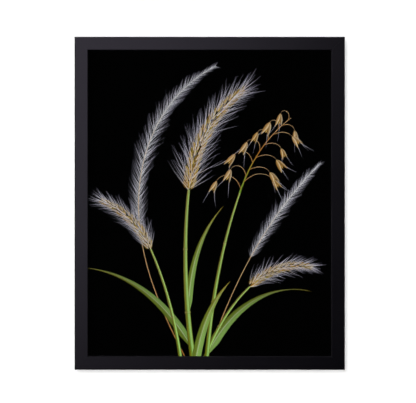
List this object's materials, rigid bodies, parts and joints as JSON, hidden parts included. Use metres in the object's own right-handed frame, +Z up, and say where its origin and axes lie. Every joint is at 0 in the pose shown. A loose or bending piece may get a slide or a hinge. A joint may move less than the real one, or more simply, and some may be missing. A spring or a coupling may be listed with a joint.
{
  "type": "framed photographic print",
  "caption": "Framed photographic print for the wall: flat black moulding, clear acrylic, dark botanical print, hardboard back and sawtooth hanger.",
  "frame": {"origin": "where the shank of the wall nail meets the wall, under the middle notch of the sawtooth hanger", "axes": "+Z up, the picture faces -Y, and the wall is the plane y = 0"},
  "size_m": [0.4374, 0.025, 0.539],
  "materials": {
    "black_moulding": "satin",
    "clear_acrylic": "polished",
    "printed_paper": "satin",
    "hardboard": "matte",
    "strip_steel": "satin",
    "brass_plate": "satin",
    "black_felt": "matte"
  },
  "bodies": {
    "root": {"backing_board": "hardboard", "bumper_left": "black_felt", "bumper_right": "black_felt", "framers_point_bottom_1": "strip_steel", "framers_point_bottom_2": "strip_steel", "framers_point_bottom_3": "strip_steel", "framers_point_left_1": "strip_steel", "framers_point_left_2": "strip_steel", "framers_point_left_3": "strip_steel", "framers_point_left_4": "strip_steel", "framers_point_right_1": "strip_steel", "framers_point_right_2": "strip_steel", "framers_point_right_3": "strip_steel", "framers_point_right_4": "strip_steel", "framers_point_top_1": "strip_steel", "framers_point_top_2": "strip_steel", "framers_point_top_3": "strip_steel", "glazing": "clear_acrylic", "hanger_nail_left": "brass_plate", "hanger_nail_right": "brass_plate", "print": "printed_paper", "rail_bottom": "black_moulding", "rail_left": "black_moulding", "rail_right": "black_moulding", "rail_top": "black_moulding", "sawtooth_hanger": "brass_plate", "v_nail_bottom_left_1": "strip_steel", "v_nail_bottom_left_2": "strip_steel", "v_nail_bottom_right_1": "strip_steel", "v_nail_bottom_right_2": "strip_steel", "v_nail_top_left_1": "strip_steel", "v_nail_top_left_2": "strip_steel", "v_nail_top_right_1": "strip_steel", "v_nail_top_right_2": "strip_steel"}
  },
  "joints": []
}
